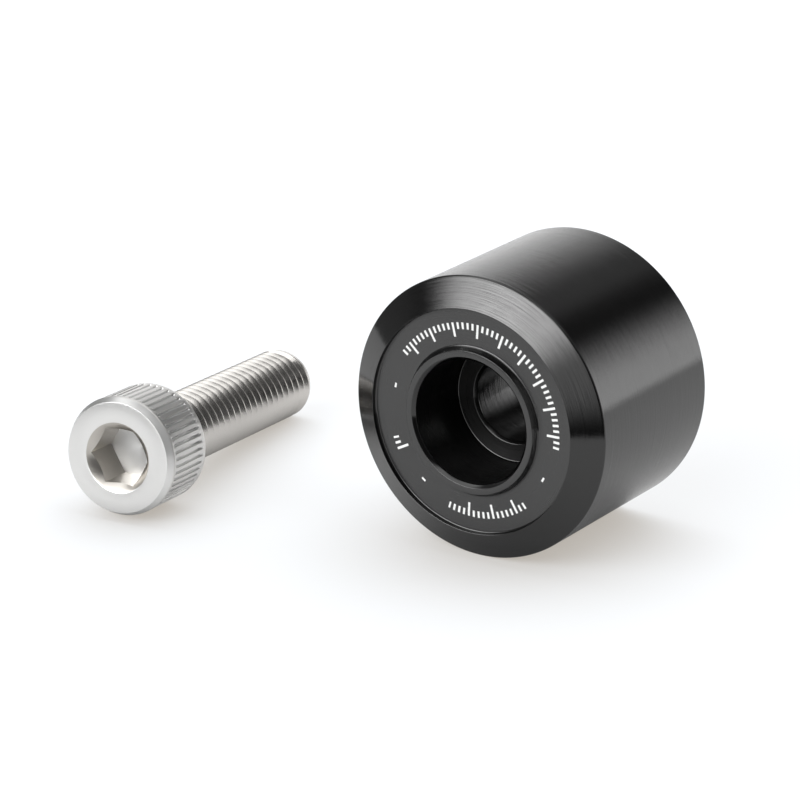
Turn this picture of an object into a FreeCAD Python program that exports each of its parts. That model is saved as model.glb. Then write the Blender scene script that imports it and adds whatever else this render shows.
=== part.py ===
# Bar end adapter for a handlebar, with the socket head screw that clamps it.
# The turned body lies on its barrel with the mouth towards -Y, and its screw,
# taken out, lies beside it on the rim of its head and the end of its thread.
# Origin: centre of the body's rear face, on the bore's axis. Millimetres, +Z up.
import FreeCAD, Part
import os
import re
import Sketcher

# Driving sizes: alias, value, what it is. Lengths in mm, angles in degrees.
SIZES = [
    ("shank_radius", 4.0, "M8 thread, over its crests"),
    ("shank_length", 30.0, "under the head to the tip"),
    ("head_radius", 6.5, "over the knurl"),
    ("head_height", 8.0, "front face to underside"),
    ("face_bevel_width", 0.38, "bevel round the head's front face, across"),
    ("face_bevel_length", 0.9, "the same bevel, along the axis"),
    ("head_rim_bevel", 0.35, "bevel round the head's underside"),
    ("tip_bevel_width", 0.7, "bevelled end of the thread, across"),
    ("tip_bevel_length", 1.6, "the same bevel, along the axis"),
    ("hex_width", 6.0, "socket across its flats"),
    ("hex_turn", 29.0, "angle of the socket's first corner"),
    ("socket_depth", 4.6, "flat sided part of the socket"),
    ("socket_lead", 0.33, "countersink beyond the socket's corners"),
    ("socket_lead_angle", 60.0, "countersink, measured from the axis"),
    ("socket_end_angle", 72.0, "blunt cone at the bottom, from the axis"),
    ("knurl_count", 54, "straight grooves round the head"),
    ("knurl_depth", 0.2, "depth of a groove"),
    ("knurl_width", 0.38, "width of a groove at the surface"),
    ("knurl_front_band", 1.3, "plain band before the grooves"),
    ("knurl_rear_band", 0.95, "plain band behind the grooves"),
    ("outer_radius", 15.25, "barrel of the body"),
    ("barrel_length", 20.6, "rear face to the bevel"),
    ("bevel_width", 3.08, "front bevel, across"),
    ("bevel_depth", 1.7, "front bevel, along the axis"),
    ("barrel_edge", 0.2, "edge break between barrel and bevel"),
    ("rear_edge", 0.35, "bevel round the rear face"),
    ("ring_depth", 0.55, "sunk ring below the bevel's lip"),
    ("ring_wall_slope", 0.35, "outer wall of the ring leans in by this"),
    ("boss_radius", 7.85, "flat top of the raised rim round the mouth"),
    ("boss_height", 0.75, "raised rim above the sunk ring"),
    ("boss_slope", 0.4, "wall of the raised rim spreads by this"),
    ("head_clearance", 0.25, "round the screw's head in the counterbore"),
    ("head_sink", 0.27, "seated head lies this far below the mouth"),
    ("mouth_edge", 0.35, "bevel at the counterbore's mouth"),
    ("shank_clearance", 0.5, "round the thread in the through hole"),
    ("hole_edge", 0.3, "bevel where the hole leaves the counterbore"),
    ("screw_x", -37.1, "centre of the loose screw's front face"),
    ("screw_y", -34.1, "the same, along Y"),
    ("screw_heading", 98.0, "from +X to the way its thread points"),
]

# Sizes that follow from the driving ones.
DERIVED = [
    ("lip_radius", "outer_radius - bevel_width"),
    ("lip_height", "barrel_length + bevel_depth"),
    ("ring_height", "lip_height - ring_depth"),
    ("mouth_height", "ring_height + boss_height"),
    ("counterbore_radius", "head_radius + head_clearance"),
    ("seat_height", "mouth_height - head_height - head_sink"),
    ("hole_radius", "shank_radius + shank_clearance"),
    ("screw_length", "head_height + shank_length"),
    ("hex_corner_radius", "hex_width / 2 / cos(30)"),
    ("socket_mouth_radius", "hex_corner_radius + socket_lead"),
    ("socket_lead_depth", "socket_mouth_radius / tan(socket_lead_angle)"),
    ("socket_end_depth", "socket_depth + hex_width / 2 / tan(socket_end_angle)"),
    ("knurl_length", "head_height - knurl_front_band - knurl_rear_band"),
    ("knurl_floor_radius", "head_radius - knurl_depth"),
    ("knurl_reach_radius", "head_radius + knurl_depth / 4"),
    ("knurl_reach_width", "knurl_width * 5 / 4"),
    ("rest_span", "shank_length - tip_bevel_length + head_rim_bevel"),
    ("screw_tilt", "atan((head_radius - shank_radius) / rest_span) / 1deg"),
    ("screw_z", "head_radius * cos(screw_tilt)"
                " + (head_height - head_rim_bevel) * sin(screw_tilt) - outer_radius"),
]

doc = FreeCAD.newDocument("BarEndAdapter")
sheet = doc.addObject("Spreadsheet::Sheet", "Sizes")


def fill_sheet():
    """Write every size into the sheet, one row each, under its own alias."""
    row = 1
    for alias, value, note in SIZES:
        sheet.set("A%d" % row, alias)
        sheet.set("B%d" % row, "%g" % value)
        sheet.setAlias("B%d" % row, alias)
        sheet.set("C%d" % row, note)
        row += 1
    for alias, formula in DERIVED:
        sheet.set("A%d" % row, alias)
        sheet.set("B%d" % row, "=" + formula)
        sheet.setAlias("B%d" % row, alias)
        row += 1
    doc.recompute()


def tied(formula):
    """Turn a formula on aliases into one that other objects can read."""
    aliases = [entry[0] for entry in SIZES + DERIVED]
    return re.sub(r"[a-z_]+", lambda word: "Sizes." + word[0] if word[0] in aliases else word[0], formula)


def origin_plane(body, role):
    """Return one of the body's own origin planes."""
    return [item for item in body.Origin.OriginFeatures if item.Role == role][0]


def new_body(label):
    body = doc.addObject("PartDesign::Body", "Body_" + label)
    body.Label = label
    return body


def new_sketch(body, name, role):
    sketch = body.newObject("Sketcher::SketchObject", name)
    sketch.AttachmentSupport = (origin_plane(body, role), "")
    sketch.MapMode = "FlatFace"
    return sketch


def add_outline(sketch, corners):
    """Close straight lines through corners given as pairs of formulas, tied to the sheet."""
    rough = [(rough_value(across), rough_value(along)) for across, along in corners]
    count = len(corners)
    for number in range(count):
        start = FreeCAD.Vector(rough[number][0], rough[number][1], 0)
        after = rough[(number + 1) % count]
        sketch.addGeometry(Part.LineSegment(start, FreeCAD.Vector(after[0], after[1], 0)), False)
    for number in range(count):
        sketch.addConstraint(Sketcher.Constraint("Coincident", number, 2, (number + 1) % count, 1))
    for number, (across, along) in enumerate(corners):
        for kind, formula, value in (("DistanceX", across, rough[number][0]),
                                     ("DistanceY", along, rough[number][1])):
            place = sketch.addConstraint(Sketcher.Constraint(kind, -1, 1, number, 1, value))
            if formula != "0":
                sketch.setExpression("Constraints[%d]" % place, tied(formula))


def rough_value(formula):
    """Value of a formula now, so that a sketch starts in its solved shape."""
    probe = doc.addObject("App::FeaturePython", "Probe")
    probe.addProperty("App::PropertyFloat", "Answer")
    probe.setExpression("Answer", tied(formula))
    probe.recompute()
    answer = float(probe.Answer)
    doc.removeObject(probe.Name)
    return answer


def turn(body, name, corners, cut=False):
    """Turn a profile of (radius, height) corners about the body's own Z axis."""
    sketch = new_sketch(body, name + "Profile", "XZ_Plane")
    add_outline(sketch, corners)
    kind = "PartDesign::Groove" if cut else "PartDesign::Revolution"
    feature = body.newObject(kind, name)
    feature.Profile = sketch
    feature.ReferenceAxis = (sketch, ["V_Axis"])
    feature.Angle = 360
    doc.recompute()
    return feature


def make_adapter_body():
    """Turned body: barrel, front bevel, sunk ring, raised rim, counterbore and through hole."""
    body = new_body("adapter_body")
    turn(body, "Blank", [
        ("0", "0"),
        ("outer_radius - rear_edge", "0"),
        ("outer_radius", "rear_edge"),
        ("outer_radius", "barrel_length - barrel_edge"),
        ("outer_radius - barrel_edge", "barrel_length"),
        ("lip_radius", "lip_height"),
        ("lip_radius", "mouth_height"),
        ("0", "mouth_height"),
    ])
    turn(body, "SunkRing", [
        ("boss_radius", "mouth_height"),
        ("boss_radius + boss_slope", "ring_height"),
        ("lip_radius - ring_wall_slope", "ring_height"),
        ("lip_radius", "lip_height"),
        ("outer_radius", "lip_height"),
        ("outer_radius", "mouth_height + ring_depth"),
        ("boss_radius", "mouth_height + ring_depth"),
    ], cut=True)
    turn(body, "Counterbore", [
        ("0", "seat_height"),
        ("counterbore_radius", "seat_height"),
        ("counterbore_radius", "mouth_height - mouth_edge"),
        ("counterbore_radius + mouth_edge", "mouth_height"),
        ("counterbore_radius + mouth_edge", "mouth_height + mouth_edge"),
        ("0", "mouth_height + mouth_edge"),
    ], cut=True)
    turn(body, "ThroughHole", [
        ("0", "0"),
        ("hole_radius", "0"),
        ("hole_radius", "seat_height - hole_edge"),
        ("hole_radius + hole_edge", "seat_height"),
        ("0", "seat_height"),
    ], cut=True)
    body.Placement = FreeCAD.Placement(FreeCAD.Vector(0, 0, 0), FreeCAD.Rotation(FreeCAD.Vector(1, 0, 0), 90))
    return body


def cut_hex_socket(body):
    """Sink the hexagon from the head's front face."""
    sketch = new_sketch(body, "HexProfile", "XY_Plane")
    corners = []
    for corner in range(6):
        angle = "(hex_turn + %d)" % (60 * corner)
        corners.append(("hex_corner_radius * cos" + angle, "hex_corner_radius * sin" + angle))
    add_outline(sketch, corners)
    pocket = body.newObject("PartDesign::Pocket", "HexSocket")
    pocket.Profile = sketch
    pocket.Reversed = True
    pocket.setExpression("Length", tied("socket_depth"))
    doc.recompute()
    turn(body, "SocketLead", [
        ("0", "0"),
        ("socket_mouth_radius", "0"),
        ("0", "socket_lead_depth"),
    ], cut=True)
    turn(body, "SocketEnd", [
        ("0", "socket_lead_depth"),
        ("hex_width / 2", "socket_depth"),
        ("0", "socket_end_depth"),
    ], cut=True)


def cut_knurl(body):
    """Cut one straight V groove in the head and repeat it round the axis."""
    sketch = new_sketch(body, "KnurlProfile", "XY_Plane")
    sketch.setExpression(".AttachmentOffset.Base.z", tied("knurl_front_band"))
    sketch.setExpression(".AttachmentOffset.Rotation.Angle", tied("180 / knurl_count"))
    add_outline(sketch, [
        ("knurl_floor_radius", "0"),
        ("knurl_reach_radius", "knurl_reach_width / 2"),
        ("knurl_reach_radius", "0 - knurl_reach_width / 2"),
    ])
    pocket = body.newObject("PartDesign::Pocket", "KnurlGroove")
    pocket.Profile = sketch
    pocket.Reversed = True
    pocket.setExpression("Length", tied("knurl_length"))
    doc.recompute()
    pattern = body.newObject("PartDesign::PolarPattern", "Knurl")
    pattern.Originals = [pocket]
    pattern.Axis = (new_sketch(body, "KnurlCentre", "XY_Plane"), ["N_Axis"])
    pattern.Angle = 360
    pattern.setExpression("Occurrences", tied("knurl_count"))
    body.Tip = pattern
    doc.recompute()


def make_screw():
    """Socket head screw, front face at its own origin and its thread along its own +Z."""
    body = new_body("socket_head_screw")
    turn(body, "Blank", [
        ("0", "0"),
        ("head_radius - face_bevel_width", "0"),
        ("head_radius", "face_bevel_length"),
        ("head_radius", "head_height - head_rim_bevel"),
        ("head_radius - head_rim_bevel", "head_height"),
        ("shank_radius", "head_height"),
        ("shank_radius", "screw_length - tip_bevel_length"),
        ("shank_radius - tip_bevel_width", "screw_length"),
        ("0", "screw_length"),
    ])
    cut_hex_socket(body)
    cut_knurl(body)
    body.setExpression("Placement", "placement(vector(%s; %s; %s); rotation(%s; %s; 0))" % (
        tied("screw_x"), tied("screw_y"), tied("screw_z"), tied("screw_heading"), tied("90 + screw_tilt")))
    return body


fill_sheet()
bodies = [make_adapter_body(), make_screw()]
doc.recompute()

faults = [item.Name for item in doc.Objects if "Invalid" in item.State or "Error" in item.State]
if faults:
    raise RuntimeError("failed objects: " + ", ".join(faults))

os.makedirs("parts", exist_ok=True)
for body in bodies:
    shape = body.Shape
    if shape.isNull() or not shape.isValid() or len(shape.Solids) != 1:
        raise RuntimeError("bad shape: " + body.Label)
    shape.exportStep("parts/" + body.Label + ".step")
    box = shape.BoundBox
    print("%-18s %8.1f mm3  x %.2f %.2f  y %.2f %.2f  z %.2f %.2f" % (
        body.Label, shape.Volume, box.XMin, box.XMax, box.YMin, box.YMax, box.ZMin, box.ZMax))
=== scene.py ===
import math

import bmesh
import bpy
from mathutils import Matrix, Vector


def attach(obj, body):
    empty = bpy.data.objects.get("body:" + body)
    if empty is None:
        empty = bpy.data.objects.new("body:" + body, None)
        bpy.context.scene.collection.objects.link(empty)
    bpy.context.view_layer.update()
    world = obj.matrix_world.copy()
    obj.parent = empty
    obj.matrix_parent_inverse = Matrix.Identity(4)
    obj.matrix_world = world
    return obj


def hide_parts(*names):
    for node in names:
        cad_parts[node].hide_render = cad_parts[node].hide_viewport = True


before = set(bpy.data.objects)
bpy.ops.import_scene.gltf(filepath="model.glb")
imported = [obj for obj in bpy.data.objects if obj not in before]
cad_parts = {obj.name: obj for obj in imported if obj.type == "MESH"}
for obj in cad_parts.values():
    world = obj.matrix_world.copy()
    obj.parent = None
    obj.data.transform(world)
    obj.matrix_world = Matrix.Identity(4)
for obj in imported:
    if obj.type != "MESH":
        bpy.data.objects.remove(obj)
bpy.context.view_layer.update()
mm = 0.001


def srgb(code):
    # hex colour as seen on a screen, turned to the linear values that the shaders use
    shares = [int(code[start:start + 2], 16) / 255 for start in (1, 3, 5)]
    linear = [share / 12.92 if share <= 0.04045 else ((share + 0.055) / 1.055) ** 2.4 for share in shares]
    return (*linear, 1.0)


def addNode(tree, kind, links=None, **settings):
    # one node with its settings; a link is given as another node's output, anything else is a plain value
    node = tree.nodes.new(kind)
    for name, value in settings.items():
        setattr(node, name, value)
    for socket, value in (links or {}).items():
        if isinstance(value, bpy.types.NodeSocket):
            tree.links.new(value, node.inputs[socket])
        else:
            node.inputs[socket].default_value = value
    return node


def calculate(tree, operation, *values):
    return addNode(tree, "ShaderNodeMath", dict(enumerate(values)), operation=operation).outputs[0]


def newMaterial(name, code):
    material = bpy.data.materials.new(name)
    material.use_nodes = True
    material.diffuse_color = srgb(code)
    shader = material.node_tree.nodes["Principled BSDF"]
    shader.inputs["Base Color"].default_value = srgb(code)
    return material, material.node_tree, shader


def newPiece(bm, name, materials, sharpAngle, place=None):
    # closes a mesh built in millimetres: place, scale to metres, outward normals, smooth faces, sharp edges
    if place:
        bmesh.ops.transform(bm, matrix=place, verts=bm.verts)
    bmesh.ops.scale(bm, vec=(mm, mm, mm), verts=bm.verts)
    bmesh.ops.recalc_face_normals(bm, faces=bm.faces)
    for face in bm.faces:
        face.smooth = True
    mesh = bpy.data.meshes.new(name)
    bm.to_mesh(mesh)
    bm.free()
    mesh.set_sharp_from_angle(angle=math.radians(sharpAngle))
    for material in materials:
        mesh.materials.append(material)
    piece = bpy.data.objects.new(name, mesh)
    bpy.context.scene.collection.objects.link(piece)
    weighted = piece.modifiers.new("FlatFacesStayFlat", "WEIGHTED_NORMAL")
    weighted.keep_sharp = True
    return piece


# Camera
cameraSetup = {
    "azimuth": 34.375,      # degrees round from straight in front of the mouth, towards +X
    "elevation": 19.80,     # degrees above the horizon
    "distance": 374.62,     # mm from the aim point
    "aim": (-7.050, -24.661, 1.747),
    "lens": 163.25,         # mm, on a 36 mm sensor
}
print("camera")
turnAbout = math.radians(cameraSetup["azimuth"])
lift = math.radians(cameraSetup["elevation"])
backwards = Vector((math.sin(turnAbout) * math.cos(lift), -math.cos(turnAbout) * math.cos(lift),
                    math.sin(lift)))
lensData = bpy.data.cameras.new("productCamera")
lensData.lens = cameraSetup["lens"]
lensData.sensor_width = 36
lensData.clip_start = 0.01
lensData.clip_end = 20
productCamera = bpy.data.objects.new("productCamera", lensData)
productCamera.location = (Vector(cameraSetup["aim"]) + backwards * cameraSetup["distance"]) * mm
productCamera.rotation_euler = (math.pi / 2 - lift, 0, turnAbout)
bpy.context.scene.collection.objects.link(productCamera)
bpy.context.scene.camera = productCamera
bpy.context.scene.view_settings.view_transform = "Standard"

# Studio table
tableSetup = {
    "height": -15.25,       # mm, the underside of the barrel
    "left": 350, "right": 250, "front": 80, "back": 420,    # mm from the bore's axis, as the camera sees it
    "colour": "#8f959c",        # painted board, cool so that with the warm glow it sums to white where lit; in shade it shows as a painted warm tint
    "mirrorColour": "#afafaf",  # the same board as the polished metal sees it
    "glow": (0.45, 0.415, 0.37, 1.0),       # what the camera sees on top of the lit board; warm, so the board's shadows carry a painted warm tint
    "mirrorGlow": (0.05, 0.05, 0.05, 1.0),  # what the polished metal sees on top of it
}
print("table")
left, right, front, back = (tableSetup[side] for side in ("left", "right", "front", "back"))
bm = bmesh.new()
bmesh.ops.create_grid(bm, x_segments=1, y_segments=1, size=0.5)
bmesh.ops.scale(bm, vec=(left + right, front + back, 1), verts=bm.verts)
bmesh.ops.translate(bm, vec=((right - left) / 2, (back - front) / 2, tableSetup["height"]), verts=bm.verts)
bmesh.ops.rotate(bm, matrix=Matrix.Rotation(turnAbout, 3, "Z"), verts=bm.verts)
bmesh.ops.scale(bm, vec=(mm, mm, mm), verts=bm.verts)
tableMesh = bpy.data.meshes.new("studioTable")
bm.to_mesh(tableMesh)
bm.free()
studioTable = bpy.data.objects.new("studioTable", tableMesh)
bpy.context.scene.collection.objects.link(studioTable)
paintedBoard, tree, shader = newMaterial("paintedBoard", tableSetup["colour"])
shader.inputs["Roughness"].default_value = 0.9
shader.inputs["Specular IOR Level"].default_value = 0.0
rays = addNode(tree, "ShaderNodeLightPath")
mirrored = rays.outputs["Is Glossy Ray"]
seen = addNode(tree, "ShaderNodeMath", {0: rays.outputs["Is Camera Ray"],
                                        1: rays.outputs["Is Transmission Ray"]},
               operation="ADD", use_clamp=True)
paint = addNode(tree, "ShaderNodeMix", {0: mirrored, 6: srgb(tableSetup["colour"]),
                                        7: srgb(tableSetup["mirrorColour"])}, data_type="RGBA")
tree.links.new(paint.outputs[2], shader.inputs["Base Color"])
total = shader.outputs[0]
for colour, strength in ((tableSetup["glow"], seen.outputs[0]), (tableSetup["mirrorGlow"], mirrored)):
    glow = addNode(tree, "ShaderNodeEmission", {"Color": colour, "Strength": strength})
    total = addNode(tree, "ShaderNodeAddShader", {0: total, 1: glow.outputs[0]}).outputs[0]
tree.links.new(total, tree.nodes["Material Output"].inputs["Surface"])
tableMesh.materials.append(paintedBoard)

# Light tent: one very wide lamp, high at the back, that draws broad soft shadows on the board.
# Reflections don't show it, so the metal mirrors only the panels below.
tentSetup = {
    "strength": 5.4,
    "spread": 110,      # degrees, how wide the lamp is
    "azimuth": 185,     # degrees round to where it shines from, as for the camera
    "tilt": 45,         # degrees from straight overhead
}
tentLamp = bpy.data.lights.new("lightTent", "SUN")
tentLamp.energy = tentSetup["strength"]
tentLamp.angle = math.radians(tentSetup["spread"])
lightTent = bpy.data.objects.new("lightTent", tentLamp)
lightTent.visible_glossy = False
lightTent.rotation_euler = (math.radians(tentSetup["tilt"]), 0, math.radians(tentSetup["azimuth"]))
bpy.context.scene.collection.objects.link(lightTent)

# Soft panels all round, by direction. For each, in degrees: azimuth of its middle (as for the camera),
# half its width, how far its sides fade, its lowest and highest edge, how far these fade; then its brightness.
softPanels = {
    "key": (-18, 30, 15, 18, 38, 7, 7.8),
    "keyCore": (-20, 10, 7, 22, 40, 5, 2.3),
    "keyTop": (-32, 58, 10, 43, 66, 6, 1.8),
    "keySpill": (14, 15, 7, -7, 20, 8, 1.25),
    "rightBackdrop": (137, 18, 6, -16, 20, 14, 2.3),
    "rightWall": (103, 32, 8, -16, 58, 8, 0.42),
    "leftBackdrop": (-144, 22, 8, -16, 28, 11, 1.05),
    "leftWall": (-128, 62, 2, -8, 60, 3, 0.18),
    "backTop": (-170, 80, 8, 50, 84, 6, 1.35),
}
dimStudio = 0.04    # brightness between the panels
print("studio light")
studio = bpy.data.worlds.new("studio")
studio.use_nodes = True
bpy.context.scene.world = studio
tree = studio.node_tree
tree.nodes.clear()
direction = addNode(tree, "ShaderNodeTexCoord").outputs["Generated"]
height = addNode(tree, "ShaderNodeSeparateXYZ", {0: direction}).outputs["Z"]
level = addNode(tree, "ShaderNodeVectorMath", {0: direction, 1: (1, 1, 0)}, operation="MULTIPLY").outputs[0]
level = addNode(tree, "ShaderNodeVectorMath", {0: level}, operation="NORMALIZE").outputs[0]
total = dimStudio
for azimuth, half, side, low, high, edge, brightness in softPanels.values():
    middle = math.radians(azimuth)
    towards = (math.sin(middle), -math.cos(middle), 0)
    across = addNode(tree, "ShaderNodeVectorMath", {0: level, 1: towards}, operation="DOT_PRODUCT")
    mask = brightness
    for value, dark, bright in ((across.outputs["Value"], 90 - half - side, 90 - half + side),
                                (height, low - edge, low + edge),
                                (height, high + edge, high - edge)):
        fade = addNode(tree, "ShaderNodeMapRange", {"Value": value, "From Min": math.sin(math.radians(dark)),
                                                    "From Max": math.sin(math.radians(bright))},
                       interpolation_type="SMOOTHSTEP")
        mask = calculate(tree, "MULTIPLY", mask, fade.outputs[0])
    total = calculate(tree, "ADD", total, mask)
# the metal is lit by the panels, and the camera sees plain white behind the board
lit = addNode(tree, "ShaderNodeBackground", {"Color": (1, 1, 1, 1), "Strength": total})
white = addNode(tree, "ShaderNodeBackground", {"Color": (1, 1, 1, 1), "Strength": 1.0})
rays = addNode(tree, "ShaderNodeLightPath")
shown = addNode(tree, "ShaderNodeMixShader", {0: rays.outputs["Is Camera Ray"], 1: lit.outputs[0],
                                              2: white.outputs[0]})
addNode(tree, "ShaderNodeOutputWorld", {"Surface": shown.outputs[0]})


# Materials
def turnedAluminium(name, code, roughness, grain, depth, streak, ior):
    # Black anodised aluminium, turned on a lathe: near black under a clear hard oxide film, so it mirrors
    # softly; the tool leaves fine rings round the axis, which smear each reflection across them.
    # grain and depth are the marks' width and depth in mm, streak how often they change round the part
    material, tree, shader = newMaterial(name, code)
    shader.inputs["IOR"].default_value = ior        # aluminium oxide and dye; a rough cut mirrors less; the bore's low value, with its darker colour, is painted shade in the recess
    shader.inputs["Anisotropic"].default_value = 0.7
    shader.inputs["Anisotropic Rotation"].default_value = 0.25
    place = addNode(tree, "ShaderNodeTexCoord").outputs["Object"]
    parts = addNode(tree, "ShaderNodeSeparateXYZ", {0: place})
    flat = addNode(tree, "ShaderNodeVectorMath", {0: place, 1: (1, 0, 1)}, operation="MULTIPLY").outputs[0]
    radius = addNode(tree, "ShaderNodeVectorMath", {0: flat}, operation="LENGTH").outputs["Value"]
    spoke = addNode(tree, "ShaderNodeVectorMath", {0: flat}, operation="NORMALIZE").outputs[0]
    around = addNode(tree, "ShaderNodeVectorMath", {0: spoke, 1: (streak, streak, streak)},
                     operation="MULTIPLY").outputs[0]
    # rings by distance from the axis and along it; the slow term lets a mark start and stop round the part
    along = calculate(tree, "MULTIPLY", radius, 0.7)
    along = calculate(tree, "ADD", along, parts.outputs["Y"])
    along = calculate(tree, "MULTIPLY", along, 1 / (grain * mm))
    marks = addNode(tree, "ShaderNodeTexNoise", {"Vector": around, "W": along, "Scale": 1.0, "Detail": 3.0,
                                                 "Roughness": 0.6}, noise_dimensions="4D")
    rough = addNode(tree, "ShaderNodeMapRange", {"Value": marks.outputs[0], "From Min": 0.3, "From Max": 0.7,
                                                 "To Min": roughness * 0.7, "To Max": roughness * 1.3})
    tree.links.new(rough.outputs[0], shader.inputs["Roughness"])
    bump = addNode(tree, "ShaderNodeBump", {"Height": marks.outputs[0], "Strength": 1.0,
                                            "Distance": depth * mm})
    tree.links.new(bump.outputs[0], shader.inputs["Normal"])
    tangent = addNode(tree, "ShaderNodeTangent", direction_type="RADIAL", axis="Y")
    tree.links.new(tangent.outputs[0], shader.inputs["Tangent"])
    return material


def stainless(name, code, roughness, grain, depth):
    # Stainless screw steel, cold formed: bright silver, its fine forming texture scatters the light a little.
    # grain and depth are that texture's in mm
    material, tree, shader = newMaterial(name, code)
    shader.inputs["Metallic"].default_value = 1.0
    place = addNode(tree, "ShaderNodeTexCoord").outputs["Object"]
    speckle = addNode(tree, "ShaderNodeTexNoise", {"Vector": place, "Scale": 1 / (grain * mm), "Detail": 4.0,
                                                   "Roughness": 0.6})
    rough = addNode(tree, "ShaderNodeMapRange", {"Value": speckle.outputs[0], "To Min": roughness * 0.8,
                                                 "To Max": roughness * 1.25})
    tree.links.new(rough.outputs[0], shader.inputs["Roughness"])
    bump = addNode(tree, "ShaderNodeBump", {"Height": speckle.outputs[0], "Strength": 1.0,
                                            "Distance": depth * mm})
    tree.links.new(bump.outputs[0], shader.inputs["Normal"])
    return material


def offPlace(tree, angle, middle, span):
    # degrees from an angle to the nearest of the places that lie span apart, one of them at middle
    off = calculate(tree, "SUBTRACT", angle, middle)
    off = calculate(tree, "WRAP", off, span / 2, -span / 2)
    return calculate(tree, "ABSOLUTE", off)


def inside(tree, value, low, high, soft):
    # 1 between low and high, 0 outside, with soft borders
    rise, fall = (addNode(tree, "ShaderNodeMapRange", {"Value": value, "From Min": dark, "From Max": bright})
                  for dark, bright in ((low - soft, low + soft), (high + soft, high - soft)))
    return calculate(tree, "MULTIPLY", rise.outputs[0], fall.outputs[0])


# Plain graduation on the sunk ring: angles in degrees from +X towards +Z, sizes in mm.
ringScale = {
    "arcs": ((282, 28.1), (70, 75.7), (205, 4.3)),      # middle of each run of ticks, half its width
    "step": 3.4, "each": 5, "stroke": 0.25,             # between ticks, how many to a tall one, their width
    "tall": (9.05, 10.55), "short": (9.85, 10.55),      # from one radius to another
    "dashes": (168, 232, 332), "dashHalf": 1.5, "dash": (9.68, 9.9),
    "ink": "#efefec", "soft": 0.03, "softAngle": 0.1,   # colour, blur of its borders in mm and in degrees
}


def printScale(material, scale):
    # white screen print: a matt ink film that hides the black under it
    tree = material.node_tree
    shader = tree.nodes["Principled BSDF"]
    parts = addNode(tree, "ShaderNodeSeparateXYZ", {0: addNode(tree, "ShaderNodeTexCoord").outputs["Object"]})
    angle = calculate(tree, "ARCTAN2", parts.outputs["Z"], parts.outputs["X"])
    angle = calculate(tree, "MULTIPLY", angle, 180 / math.pi)
    flat = addNode(tree, "ShaderNodeCombineXYZ", {0: parts.outputs["X"], 1: parts.outputs["Z"]})
    radius = addNode(tree, "ShaderNodeVectorMath", {0: flat.outputs[0]}, operation="LENGTH").outputs["Value"]
    radius = calculate(tree, "MULTIPLY", radius, 1 / mm)
    ink = 0.0
    for middle, half in scale["arcs"]:
        arc = inside(tree, offPlace(tree, angle, middle, 360), -1, half, scale["softAngle"])
        for span, reach in ((scale["step"], scale["short"]), (scale["step"] * scale["each"], scale["tall"])):
            off = offPlace(tree, angle, middle, span)
            off = calculate(tree, "MULTIPLY", off, radius)
            off = calculate(tree, "MULTIPLY", off, math.pi / 180)
            line = inside(tree, off, -1, scale["stroke"] / 2, scale["soft"])
            band = inside(tree, radius, *reach, scale["soft"])
            tick = calculate(tree, "MULTIPLY", line, band)
            tick = calculate(tree, "MULTIPLY", tick, arc)
            ink = calculate(tree, "MAXIMUM", ink, tick)
    for middle in scale["dashes"]:
        line = inside(tree, offPlace(tree, angle, middle, 360), -1, scale["dashHalf"], scale["softAngle"])
        band = inside(tree, radius, *scale["dash"], scale["soft"])
        dash = calculate(tree, "MULTIPLY", line, band)
        ink = calculate(tree, "MAXIMUM", ink, dash)
    bare = tuple(shader.inputs["Base Color"].default_value)
    colour = addNode(tree, "ShaderNodeMix", {0: ink, 6: bare, 7: srgb(scale["ink"])}, data_type="RGBA")
    tree.links.new(colour.outputs[2], shader.inputs["Base Color"])


print("materials")
# name, colour, roughness, grain, depth, streak, IOR
anodisedBarrel = turnedAluminium("anodisedBarrel", "#060606", 0.12, 0.15, 0.019, 1.5, 1.6)
anodisedRing = turnedAluminium("anodisedRing", "#202020", 0.22, 0.08, 0.002, 2.0, 1.68)
# the bore is darker and mirrors less than the barrel: painted shade inside the recess
anodisedBorePaintedShade = turnedAluminium("anodisedBorePaintedShade", "#020202", 0.34, 0.12, 0.004, 1.5, 1.35)
anodisedHole = turnedAluminium("anodisedHole", "#030303", 0.2, 0.3, 0.045, 1.2, 1.5)
printScale(anodisedRing, ringScale)
# name, colour, roughness, grain, depth
steelFace = stainless("steelFace", "#e0e0df", 0.32, 0.3, 0.003)
steelKnurled = stainless("steelKnurled", "#dad9d7", 0.36, 0.16, 0.012)
steelThread = stainless("steelThread", "#cfccc8", 0.24, 0.2, 0.005)
# the socket's steel is darker and warmer than the face's: painted shade inside the hex socket
steelSocketPaintedShade = stainless("steelSocketPaintedShade", "#c2beb8", 0.3, 0.25, 0.006)

# Adapter body
adapter = {
    "outerRadius": 15.25, "barrelLength": 20.6, "rearEdge": 0.35, "barrelEdge": 0.12,
    "bevelWidth": 3.08, "bevelDepth": 1.7, "ringDepth": 0.55, "ringWallSlope": 0.03,
    "bossRadius": 7.75, "bossHeight": 0.75, "bossSlope": 0.3, "footRound": 0.2,
    "boreRadius": 6.75, "boreDepth": 8.27, "mouthEdge": 0.35,
    "holeRadius": 4.5, "holeEdge": 0.30,
    "steps": 288,
}
print("adapter body")
outerRadius, boreRadius, holeRadius = adapter["outerRadius"], adapter["boreRadius"], adapter["holeRadius"]
lipRadius = outerRadius - adapter["bevelWidth"]
barrelLength = adapter["barrelLength"]
lipHeight = barrelLength + adapter["bevelDepth"]
ringHeight = lipHeight - adapter["ringDepth"]
mouthHeight = ringHeight + adapter["bossHeight"]
seatHeight = mouthHeight - adapter["boreDepth"]
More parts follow.
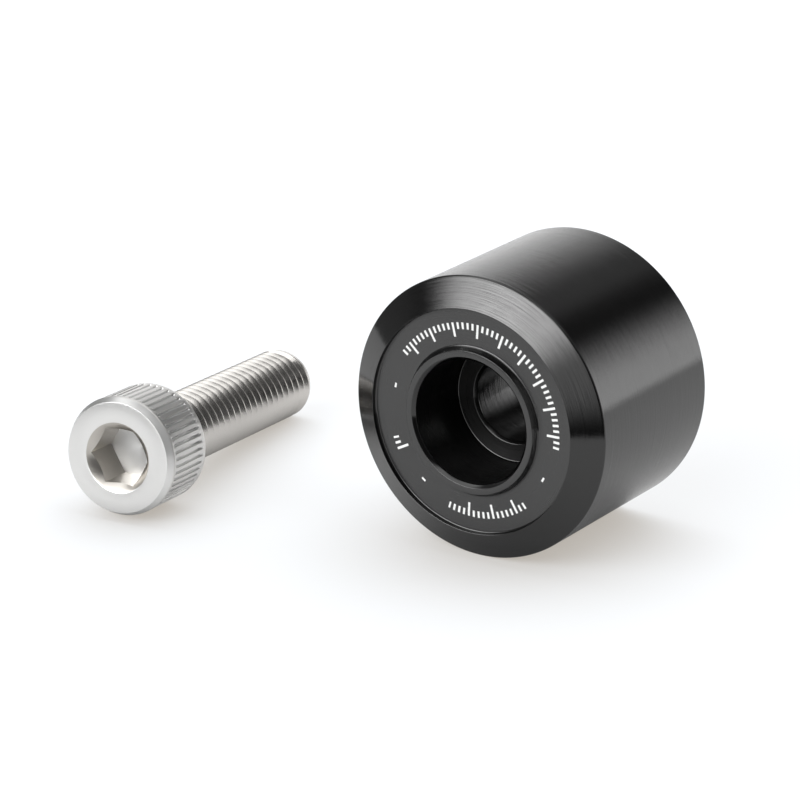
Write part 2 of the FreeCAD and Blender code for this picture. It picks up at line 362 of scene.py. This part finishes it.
# corner of the turned outline: radius, height above the rear face, how much that edge is rounded
outline = [
    (holeRadius, 0, 0.10),
    (outerRadius - adapter["rearEdge"], 0, 0.06),
    (outerRadius, adapter["rearEdge"], 0.06),
    (outerRadius, barrelLength - adapter["barrelEdge"], 0.08),
    (outerRadius - adapter["barrelEdge"], barrelLength, 0.08),
    (lipRadius, lipHeight, 0.05),
    (lipRadius - adapter["ringWallSlope"], ringHeight, adapter["footRound"]),
    (adapter["bossRadius"] + adapter["bossSlope"], ringHeight, adapter["footRound"]),
    (adapter["bossRadius"], mouthHeight, 0.05),
    (boreRadius + adapter["mouthEdge"], mouthHeight, 0.04),
    (boreRadius, mouthHeight - adapter["mouthEdge"], 0.06),
    (boreRadius, seatHeight, 0.14),
    (holeRadius + adapter["holeEdge"], seatHeight, 0.05),
    (holeRadius, seatHeight - adapter["holeEdge"], 0.05),
]
bm = bmesh.new()
corners = [bm.verts.new((radius, -height, 0)) for radius, height, _ in outline]
sides = [bm.edges.new((corners[index - 1], corners[index])) for index in range(len(corners))]
bmesh.ops.spin(bm, geom=corners + sides, cent=(0, 0, 0), axis=(0, 1, 0), angle=2 * math.pi,
               steps=adapter["steps"], use_merge=True)
bmesh.ops.remove_doubles(bm, verts=bm.verts, dist=1e-5)
for radius, height, rounding in outline:
    hoop = [edge for edge in bm.edges if all(
        abs(math.hypot(vert.co.x, vert.co.z) - radius) < 1e-3 and abs(vert.co.y + height) < 1e-3
        for vert in edge.verts)]
    bmesh.ops.bevel(bm, geom=hoop, offset=rounding, offset_type="OFFSET", segments=3, profile=0.5,
                    affect="EDGES", material=-1, clamp_overlap=False)
adapterFinishes = [anodisedBarrel, anodisedRing, anodisedBorePaintedShade, anodisedHole]
margin, wideMargin = 0.01, 0.1      # mm, between a finish and the faces next to it
bmesh.ops.recalc_face_normals(bm, faces=bm.faces)
for face in bm.faces:
    middle = face.calc_center_median()
    radius, height = math.hypot(middle.x, middle.z), -middle.y
    finish = anodisedBarrel
    upright = abs(face.normal.y) < 0.05
    level = abs(face.normal.y) > 0.97
    if boreRadius < radius < lipRadius and height > ringHeight - margin and level:
        finish = anodisedRing
    elif radius < boreRadius + margin and height > seatHeight - margin and (upright or level):
        finish = anodisedBorePaintedShade
    elif radius < holeRadius + adapter["holeEdge"] and height > wideMargin:
        finish = anodisedHole
    face.material_index = adapterFinishes.index(finish)
adapterPiece = newPiece(bm, "adapterTurned", adapterFinishes, 40)
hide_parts("adapter_body")
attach(adapterPiece, "root")

# Socket head screw
screw = {
    "place": (-37.1, -34.1), "heading": 98,     # mm and degrees, as the solid lies
    "headRadius": 6.5, "headHeight": 8, "shankRadius": 4, "length": 38,
    "faceBevelWidth": 0.38, "faceBevelLength": 0.9, "rimBevel": 0.35,
    "tipBevelWidth": 0.7, "tipBevelLength": 1.6,
    "hexWidth": 6, "hexTurn": 29, "socketDepth": 4.6, "socketLead": 0.42, "leadAngle": 47, "mouthRound": 0.06,
    "endAngle": 76, "endTip": 0.15,
    "knurls": 54, "knurlDepth": 0.32, "knurlFront": 1.3, "knurlBack": 7.05, "knurlRun": 0.28,
    "pitch": 1.25, "threadDepth": 0.767, "threadSteps": 72,
    "runInStart": 0.05, "runIn": 0.6, "runOutEnd": 0.1, "runOut": 0.7,  # where the groove fades in and out
}
print("screw head")
headRadius, headHeight, rimBevel = screw["headRadius"], screw["headHeight"], screw["rimBevel"]
shankRadius, length = screw["shankRadius"], screw["length"]
# it lies on the rim of its head and on its tip
restTilt = math.atan((headRadius - shankRadius) / (length - headHeight - screw["tipBevelLength"] + rimBevel))
faceLift = (headRadius * math.cos(restTilt) + (headHeight - rimBevel) * math.sin(restTilt)
            + tableSetup["height"])
screwPlace = (Matrix.Translation((*screw["place"], faceLift))
              @ Matrix.Rotation(math.radians(screw["heading"]), 4, "Z")
              @ Matrix.Rotation(math.pi / 2 + restTilt, 4, "Y"))

# where the points of one knurl lie round the head, in parts of a pitch, and how deep each is
knurlPoints = [(0, 0), (0.25, 0), (0.31, 0.25), (0.38, 0.85), (0.45, 1.0),
               (0.55, 1.0), (0.62, 0.85), (0.69, 0.25), (0.75, 0)]


def angleOf(vert):
    return math.degrees(math.atan2(vert.co.y, vert.co.x)) % 360


def knurlShare(angle):
    # 0 on a land, 1 at the bottom of a groove
    part = ((angle - screw["hexTurn"]) * screw["knurls"] / 360 + 1e-4) % 1
    return max(point for point in knurlPoints if point[0] <= part + 1e-3)[1]


def hexRadius(angle):
    off = (angle - screw["hexTurn"]) % 60 - 30
    return screw["hexWidth"] / 2 / math.cos(math.radians(off))


def extrudeRing(bm, ring, radiusAt, depthAt):
    # pulls the ring of edges on to a new ring, whose points keep their angle
    grown = bmesh.ops.extrude_edge_only(bm, edges=ring)["geom"]
    points = {item for item in grown if isinstance(item, bmesh.types.BMVert)}
    for vert in points:
        angle = angleOf(vert)
        radius, depth = radiusAt(angle), depthAt(angle)
        vert.co = (radius * math.cos(math.radians(angle)), radius * math.sin(math.radians(angle)), depth)
    return [item for item in grown if isinstance(item, bmesh.types.BMEdge) and set(item.verts) <= points]


mouthRadius = screw["hexWidth"] / 2 / math.cos(math.radians(30)) + screw["socketLead"]
mouthRim = mouthRadius + screw["mouthRound"]
bm = bmesh.new()
circle = bmesh.ops.create_circle(bm, cap_ends=False, radius=mouthRim,
                                 segments=screw["knurls"] * len(knurlPoints))
for index, vert in enumerate(circle["verts"]):
    knurl, point = divmod(index, len(knurlPoints))
    angle = math.radians(screw["hexTurn"] + (knurl + knurlPoints[point][0]) * 360 / screw["knurls"])
    vert.co = (mouthRim * math.cos(angle), mouthRim * math.sin(angle), 0)
mouth = list(bm.edges)

# rings of the head from the face to the underside: radius, depth, share of the knurl's cut.
# The last few hundredths round each edge, and the bevel ends in a low bead.
faceEdge, bevelEnd = headRadius - screw["faceBevelWidth"], screw["faceBevelLength"]
rimEdge, rimStart = headRadius - rimBevel, headHeight - rimBevel
knurlFront, knurlBack, knurlRun = screw["knurlFront"], screw["knurlBack"], screw["knurlRun"]
headRings = [
    (faceEdge - 0.10, 0, 0), (faceEdge - 0.03, 0.02, 0), (faceEdge + 0.02, 0.09, 0),
    (headRadius - 0.05, bevelEnd - 0.08, 0), (headRadius + 0.02, bevelEnd, 0),
    (headRadius + 0.03, bevelEnd + 0.06, 0), (headRadius - 0.02, bevelEnd + 0.16, 0),
    (headRadius, knurlFront, 0),
    (headRadius, knurlFront + knurlRun / 2, 0.7), (headRadius, knurlFront + knurlRun, 1),
    (headRadius, knurlBack - knurlRun, 1), (headRadius, knurlBack - knurlRun / 2, 0.7),
    (headRadius, knurlBack, 0),
    (headRadius, rimStart - 0.08, 0), (headRadius - 0.03, rimStart + 0.03, 0),
    (rimEdge + 0.03, headHeight - 0.03, 0), (rimEdge - 0.08, headHeight, 0),
]
ring = mouth
for radius, depth, cut in headRings:
    ring = extrudeRing(bm, ring, lambda angle: radius - screw["knurlDepth"] * cut * knurlShare(angle),
                       lambda angle: depth)

# inwards from the mouth: countersink, hexagon, drilled end
leadSlope = math.tan(math.radians(screw["leadAngle"]))
endSlope = math.tan(math.radians(screw["endAngle"]))
flatRadius, socketDepth, endTip = screw["hexWidth"] / 2, screw["socketDepth"], screw["endTip"]
endDepth = socketDepth + (flatRadius - endTip) / endSlope
halfRound = screw["mouthRound"] / 2
ring = extrudeRing(bm, mouth, lambda angle: mouthRadius - halfRound, lambda angle: halfRound)
ring = extrudeRing(bm, ring, hexRadius, lambda angle: (mouthRadius - hexRadius(angle)) / leadSlope)
ring = extrudeRing(bm, ring, hexRadius, lambda angle: socketDepth)
ring = extrudeRing(bm, ring, lambda angle: flatRadius - 0.02, lambda angle: socketDepth)
ring = extrudeRing(bm, ring, lambda angle: endTip, lambda angle: endDepth)
bmesh.ops.edgeloop_fill(bm, edges=ring)

print("screw thread")
pitch = screw["pitch"]
crest = pitch / 8
flank = screw["threadDepth"] * math.tan(math.radians(30))
root = pitch - crest - 2 * flank
rootRadius = shankRadius - screw["threadDepth"]
# the ridge and groove of one pitch, with rounded crest and root: radius, distance along the axis
threadOutline = [
    (shankRadius - 0.02, 0), (shankRadius, 0.03), (shankRadius, crest - 0.03), (shankRadius - 0.02, crest),
    (rootRadius + 0.04, crest + flank), (rootRadius, crest + flank + root / 2),
    (rootRadius + 0.04, crest + flank + root), (shankRadius - 0.02, pitch),
]
turns = round((length - headHeight) / pitch) + 2
start = headHeight - pitch
helix = bmesh.new()
points = [helix.verts.new((radius, 0, start + rise)) for radius, rise in threadOutline]
lines = [helix.edges.new(pair) for pair in zip(points, points[1:])]
bmesh.ops.spin(helix, geom=points + lines, cent=(0, 0, 0), axis=(0, 0, 1), angle=2 * math.pi,
               dvec=(0, 0, pitch / screw["threadSteps"]), steps=screw["threadSteps"])
oneTurn = helix.verts[:] + helix.edges[:] + helix.faces[:]
for turn in range(1, turns):
    copied = bmesh.ops.duplicate(helix, geom=oneTurn)["geom"]
    bmesh.ops.translate(helix, vec=(0, 0, pitch * turn),
                        verts=[item for item in copied if isinstance(item, bmesh.types.BMVert)])
bmesh.ops.remove_doubles(helix, verts=helix.verts, dist=0.002)
for depth, side in ((headHeight, -1), (length, 1)):
    bmesh.ops.bisect_plane(helix, geom=helix.verts[:] + helix.edges[:] + helix.faces[:], dist=1e-5,
                           plane_co=(0, 0, depth), plane_no=(0, 0, side), clear_outer=True)
tipStart = length - screw["tipBevelLength"]
for vert in helix.verts:
    # the groove runs out just under the head and before the tip, whose bevel is rounded
    radius, depth = math.hypot(vert.co.x, vert.co.y), vert.co.z
    runIn = min(max((depth - headHeight - screw["runInStart"]) / screw["runIn"], 0), 1)
    runOut = min(max((tipStart + screw["runOutEnd"] - depth) / screw["runOut"], 0), 1)
    past = max(depth - tipStart, 0) / screw["tipBevelLength"]
    full = shankRadius - screw["tipBevelWidth"] * past ** 1.5
    target = full - (shankRadius - radius) * min(runIn, runOut)
    vert.co.x *= target / radius
    vert.co.y *= target / radius
tipRim = [edge for edge in helix.edges
          if edge.is_boundary and all(abs(vert.co.z - length) < 1e-3 for vert in edge.verts)]
bmesh.ops.edgeloop_fill(helix, edges=tipRim)
threadMesh = bpy.data.meshes.new("thread")
helix.to_mesh(threadMesh)
helix.free()
bm.from_mesh(threadMesh)
bpy.data.meshes.remove(threadMesh)
bmesh.ops.bridge_loops(bm, edges=[edge for edge in bm.edges if edge.is_boundary])
screwFinishes = [steelFace, steelKnurled, steelThread, steelSocketPaintedShade]
for face in bm.faces:
    middle = face.calc_center_median()
    radius, depth = math.hypot(middle.x, middle.y), middle.z
    finish = steelFace
    if depth > headHeight + margin:
        finish = steelThread
    elif radius > headRadius - wideMargin or depth > headHeight - margin:
        finish = steelKnurled
    elif radius < mouthRadius and wideMargin < depth < socketDepth - margin:
        finish = steelSocketPaintedShade
    face.material_index = screwFinishes.index(finish)
screwPiece = newPiece(bm, "socketScrew", screwFinishes, 35, screwPlace)
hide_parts("socket_head_screw")
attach(screwPiece, "root")

print("done")
